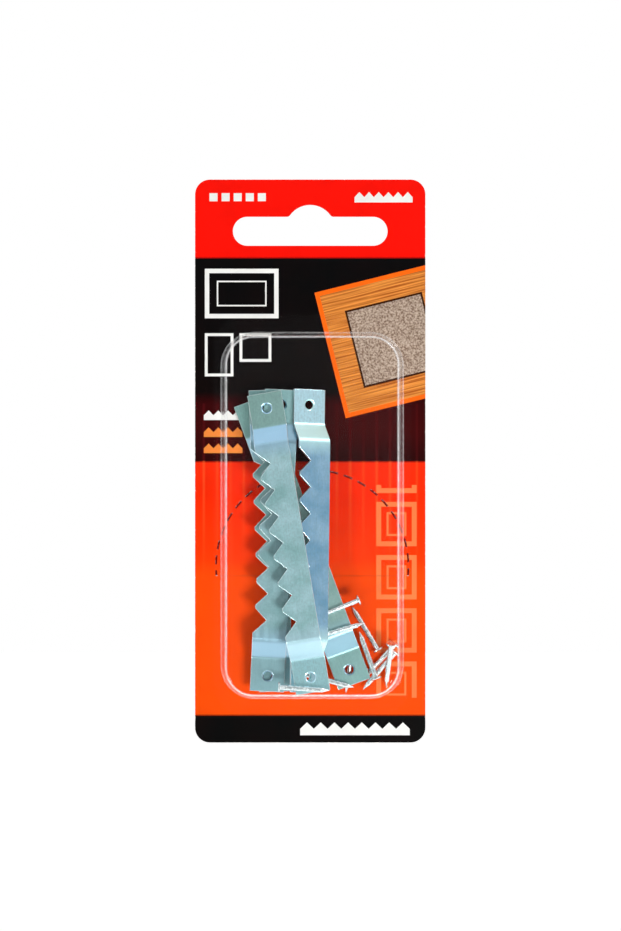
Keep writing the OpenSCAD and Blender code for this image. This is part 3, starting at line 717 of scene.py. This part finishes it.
# %% [markdown]
# ## Bright nails
# The nails are drawn wire with a pressed head, barrel plated with zinc. They are smoother than
# the hangers, so they show narrow bright lines along the shank and a spark at the head. What
# marks they have come from tumbling in the barrel: shallow dents of about 0.7 mm.

# %% Bright drawn wire
TUMBLE_DENT = 0.7143 * MM
nail_metal, nt = new_material("bright_drawn_wire")
wire_at = add(nt, COORDINATES).outputs["Object"]
tumble = add(nt, NOISE, {"Vector": wire_at, "Scale": 1 / TUMBLE_DENT, "Detail": 3.0}).outputs[0]
wire_tone = fill_ramp(add(nt, RAMP, {0: tumble}), [(0.35, linear("#cfdfe1")), (0.65, linear("#eef8fa"))])
wire_rough = add(nt, RANGE, {0: tumble, 1: 0.3, 2: 0.7, 3: 0.18, 4: 0.32}).outputs[0]
wire_bump = add(nt, BUMP, {"Height": tumble, "Strength": 0.02, "Distance": 0.02 * MM}).outputs[0]
wire_shader = add(nt, "ShaderNodeBsdfPrincipled", {
    "Base Color": wire_tone, "Metallic": 1.0, "Roughness": wire_rough, "Normal": wire_bump,
})
add(nt, OUTPUT, {0: wire_shader.outputs[0]})
nails = [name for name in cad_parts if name.startswith("nail_")]
finish_nodes(nails, nail_metal)
print("nails finished", len(nails))

# %% [markdown]
# ## The clear blister
# The pocket is thermoformed from PET sheet 0.28 mm thick. Sheet this thin hardly shifts what
# lies behind it, so it isn't modelled as bending glass: light goes straight through, and a
# little of it is mirrored. The front is nearly invisible, and pale lines stand where the sheet
# was drawn over the mould's edges. There it is stressed, a little milky and scuffed, and its
# milk is made strong enough to paint the lines' highlight as well. Scuffs are hair-fine, too
# fine to show, so they are drawn 1 mm wide. The sheet's own waves are some 5 mm long. By its
# IOR of 1.57, PET would mirror 5 per cent of the light square on. With soft light all around,
# that would veil the dark print, so the share starts far lower.

# %% Waves, scuffs and the sheet's mirror
SHEET_WAVE, SCUFF = 5.556 * MM, 1.111 * MM
SQUARE_ON, EDGE_ON = 0.004, 0.30  # the share of the light that is mirrored
FLANGE_FROM = -0.86 * MM
film, pet = new_material("thermoformed_clear_pet")
film_coords = add(pet, COORDINATES)
film_at = film_coords.outputs["Object"]
waves = add(pet, NOISE, {"Vector": film_at, "Scale": 1 / SHEET_WAVE, "Detail": 2.0}).outputs[0]
scuffs = add(pet, NOISE, {
    "Vector": film_at, "Scale": 1 / SCUFF, "Detail": 5.0, "Roughness": 0.7,
}).outputs[0]
film_rough = add(pet, RANGE, {0: scuffs, 1: 0.5, 2: 0.85, 3: 0.03, 4: 0.07}).outputs[0]
wavy = add(pet, BUMP, {"Height": waves, "Strength": 0.07, "Distance": 0.2 * MM}).outputs[0]
flat = add(pet, "ShaderNodeNewGeometry").outputs["True Normal"]
film_depth = add(pet, SPLIT, {0: film_at}).outputs["Y"]
flange = add(pet, MATH, {0: film_depth, 1: FLANGE_FROM}, operation="GREATER_THAN").outputs[0]
film_normal = add(pet, MIX, {0: flange, 4: wavy, 5: flat}, data_type="VECTOR").outputs[1]
edge_on = add(pet, "ShaderNodeLayerWeight", {"Blend": 0.5, "Normal": film_normal}).outputs["Facing"]
edge_on = add(pet, MATH, {0: edge_on, 1: 4.0}, operation="POWER").outputs[0]
mirrors = add(pet, RANGE, {0: edge_on, 1: 0.0, 2: 1.0, 3: SQUARE_ON, 4: EDGE_ON}).outputs[0]
print("the flange is sealed flat from %.2f mm" % (FLANGE_FROM / MM))

# %% [markdown]
# ### Draw lines
# Where the sheet bends over a rounded edge it turns from facing forward to facing aside. How
# far it leans is read from the sheet itself, and not from where the camera stands, so the
# lines stay in place in every view. Two leans are bright: one where the wall starts and one
# where it meets the front.

# %% Draw lines
DRAW_LINES = [  # how squarely the sheet faces forward, and the share that it mirrors there
    (0.07, 0.0), (0.12, 0.12), (0.22, 0.30), (0.38, 0.07),
    (0.58, 0.10), (0.70, 0.62), (0.84, 0.01), (1.0, 0.0),
]
lean = add(pet, SPLIT, {0: film_coords.outputs["Normal"]}).outputs["Y"]
lean = add(pet, MATH, {0: lean}, operation="ABSOLUTE").outputs[0]
drawn = fill_ramp(add(pet, RAMP, {0: lean}), [(where, (share,) * 3 + (1,)) for where, share in DRAW_LINES])
mirrors = add(pet, MATH, {0: mirrors, 1: drawn}, operation="ADD").outputs[0]
streaky = add(pet, RANGE, {0: scuffs, 1: 0.35, 2: 0.7, 3: 0.55, 4: 1.35}).outputs[0]
mirrors = add(pet, MATH, {0: mirrors, 1: streaky}, operation="MULTIPLY").outputs[0]
print("draw lines mirror up to %.0f per cent more" % (100 * max(share for _, share in DRAW_LINES)))

# %% [markdown]
# ### The finished film
# A thin clear sheet throws no shadow to speak of, so to a ray on its way to a lamp it is
# neither a mirror nor milky. All other light is shared out: part is mirrored, a share in
# step with that is scattered by the stressed film, which along the draw lines is a painted
# highlight as much as stress whitening, and the rest passes straight through.

# %% Thermoformed PET
MILK = 0.28
to_lamp = add(pet, "ShaderNodeLightPath").outputs["Is Shadow Ray"]
mirrors = add(pet, MATH, {0: mirrors, 1: to_lamp}, operation="SUBTRACT", use_clamp=True).outputs[0]
milk = add(pet, MATH, {0: mirrors, 1: MILK}, operation="MULTIPLY").outputs[0]
milk = add(pet, MATH, {0: milk, 1: to_lamp}, operation="SUBTRACT", use_clamp=True).outputs[0]
passes = add(pet, "ShaderNodeBsdfTransparent", {0: WHITE_LIGHT}).outputs[0]
gloss = add(pet, "ShaderNodeBsdfGlossy", {
    "Color": WHITE_LIGHT, "Roughness": film_rough, "Normal": film_normal,
}).outputs[0]
# Along the draw lines this milk is a painted highlight as well as stress whitening.
milk_and_painted_sheen = add(pet, "ShaderNodeBsdfDiffuse", {"Color": linear("#f4f6f8")}).outputs[0]
clear = add(pet, "ShaderNodeMixShader", {0: mirrors, 1: passes, 2: gloss}).outputs[0]
clear = add(pet, "ShaderNodeMixShader", {0: milk, 1: clear, 2: milk_and_painted_sheen}).outputs[0]
add(pet, OUTPUT, {0: clear})
finish_nodes(["blister"], film)
print("film faces", len(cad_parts["blister"].data.polygons))

# %% [markdown]
# ## Floor
# The pack hangs from its slot, so the floor lies below it, plain and pale, and keeps its soft
# shadow. To the camera, and through the film, it glows just enough to meet the white
# backdrop, more so far away, where no shadow falls. In reflections the part in front of the
# pack is dimmer, or the clear film would veil the dark print.

# %% Floor
FLOOR_REACH, FLOOR_LEVEL, GLOW_FROM, GLOW_TO = 6.0, -0.42, 0.35, 1.1  # metres
GLOW_NEAR, GLOW_FAR = 0.42, 0.80
floor_mesh = bpy.data.meshes.new("floor")
floor_mesh.from_pydata([
    (x * FLOOR_REACH, y * FLOOR_REACH, FLOOR_LEVEL) for x, y in ((-1, -1), (1, -1), (1, 1), (-1, 1))
], [], [(0, 1, 2, 3)])
floor = bpy.data.objects.new("floor", floor_mesh)
bpy.context.scene.collection.objects.link(floor)
floor_paint, pt = new_material("pale_studio_floor")
path = add(pt, "ShaderNodeLightPath").outputs
mirrored = path["Is Glossy Ray"]
camera_ray, film_ray = path["Is Camera Ray"], path["Is Transmission Ray"]
seen = add(pt, MATH, {0: camera_ray, 1: film_ray}, operation="MAXIMUM").outputs[0]
seen = add(pt, MATH, {0: seen, 1: mirrored}, operation="MAXIMUM").outputs[0]
floor_at = add(pt, COORDINATES).outputs["Object"]
away = add(pt, VECTOR_MATH, {0: floor_at}, operation="LENGTH").outputs["Value"]
glow = add(pt, RANGE, {0: away, 1: GLOW_FROM, 2: GLOW_TO, 3: GLOW_NEAR, 4: GLOW_FAR}).outputs[0]
glow = add(pt, MATH, {0: glow, 1: mirrored}, operation="MAXIMUM").outputs[0]
glow = add(pt, MATH, {0: seen, 1: glow}, operation="MULTIPLY").outputs[0]
to_front = add(pt, SPLIT, {0: floor_at}).outputs["Y"]
dimmed = add(pt, RANGE, {0: to_front, 1: 0.0, 2: -0.5, 3: 0.0, 4: 0.75}).outputs[0]
dimmed = add(pt, MATH, {0: dimmed, 1: mirrored}, operation="MULTIPLY").outputs[0]
floor_tone = add(pt, MIX, {
    0: dimmed, 6: linear("#f4f4f2"), 7: linear("#505050"),
}, data_type="RGBA").outputs[2]
glow = add(pt, MATH, {0: glow, 1: dimmed}, operation="SUBTRACT", use_clamp=True).outputs[0]
matt = add(pt, "ShaderNodeBsdfPrincipled", {
    "Base Color": floor_tone, "Roughness": 0.9, "Emission Color": WHITE_LIGHT, "Emission Strength": glow,
})
add(pt, OUTPUT, {0: matt.outputs[0]})
floor_mesh.materials.append(floor_paint)
print("floor at %.0f mm" % (FLOOR_LEVEL / MM))

# %% [markdown]
# ## Lamps
# The main lamp stands low at the right, so shadows fall up and to the left. A small low lamp
# at the left catches the sheared edges, a large soft one fills from above, and one behind
# lights the back. The last one is small and high at the right: its reflection makes the
# white lines along the bends of the hanger that lies rolled.

# %% Lamps
AIM = Vector((0, 0, -0.065))
LAMPS = {  # place and diameter in metres, power in watts
    "key": ((0.30, -0.74, -0.38), 0.28, 6.2),
    "low_left": ((-0.45, -0.60, -0.36), 0.14, 1.4),
    "fill": ((-0.75, -0.60, 0.45), 0.60, 1.5),
    "back": ((0.30, 0.80, 0.50), 0.60, 6.0),
    "glint": ((0.60, -0.34, 0.52), 0.22, 1.1),
}
for name, (place_of_lamp, diameter, power) in LAMPS.items():
    lamp_data = bpy.data.lights.new(name, "AREA")
    lamp_data.shape, lamp_data.size, lamp_data.energy = "DISK", diameter, power
    lamp = bpy.data.objects.new(name, lamp_data)
    lamp.location = place_of_lamp
    lamp.rotation_euler = (AIM - Vector(place_of_lamp)).to_track_quat("-Z", "Y").to_euler()
    bpy.context.scene.collection.objects.link(lamp)
print("lamps", len(LAMPS))

# %% [markdown]
# ## The world around
# The world is the white backdrop to the camera, and through the film. As a light it is weak,
# so the lamps make the shadows. In reflections it is bright at the sides and dimmer behind
# the camera. Its own sampling is off: with it, the renderer would pick directions in the
# world as it picks points on a lamp, and such a ray doesn't say that it is a reflection.

# %% World
WORLD_AS_LIGHT, SIDES_REFLECTED, BEHIND_REFLECTED = 0.18, 1.0, 0.47
world = bpy.data.worlds.new("studio")
bpy.context.scene.world = world
world.use_nodes = True
wt = world.node_tree
wt.nodes.clear()
toward = add(wt, SPLIT, {0: add(wt, COORDINATES).outputs["Generated"]}).outputs["Y"]
behind = add(wt, RANGE, {0: toward, 1: -0.30, 2: -0.9, 3: SIDES_REFLECTED, 4: BEHIND_REFLECTED}).outputs[0]
path = add(wt, "ShaderNodeLightPath").outputs
soft = add(wt, MIX, {0: path["Is Glossy Ray"], 2: WORLD_AS_LIGHT, 3: behind}).outputs[0]
camera_ray, film_ray = path["Is Camera Ray"], path["Is Transmission Ray"]
straight = add(wt, MATH, {0: camera_ray, 1: film_ray}, operation="MAXIMUM").outputs[0]
strength = add(wt, MATH, {0: soft, 1: straight}, operation="MAXIMUM").outputs[0]
sky = add(wt, "ShaderNodeBackground", {0: WHITE_LIGHT, 1: strength}).outputs[0]
add(wt, "ShaderNodeOutputWorld", {0: sky})
world.cycles.sampling_method = "NONE"
bpy.context.scene.view_settings.view_transform = "Standard"
print("world as a light", WORLD_AS_LIGHT)
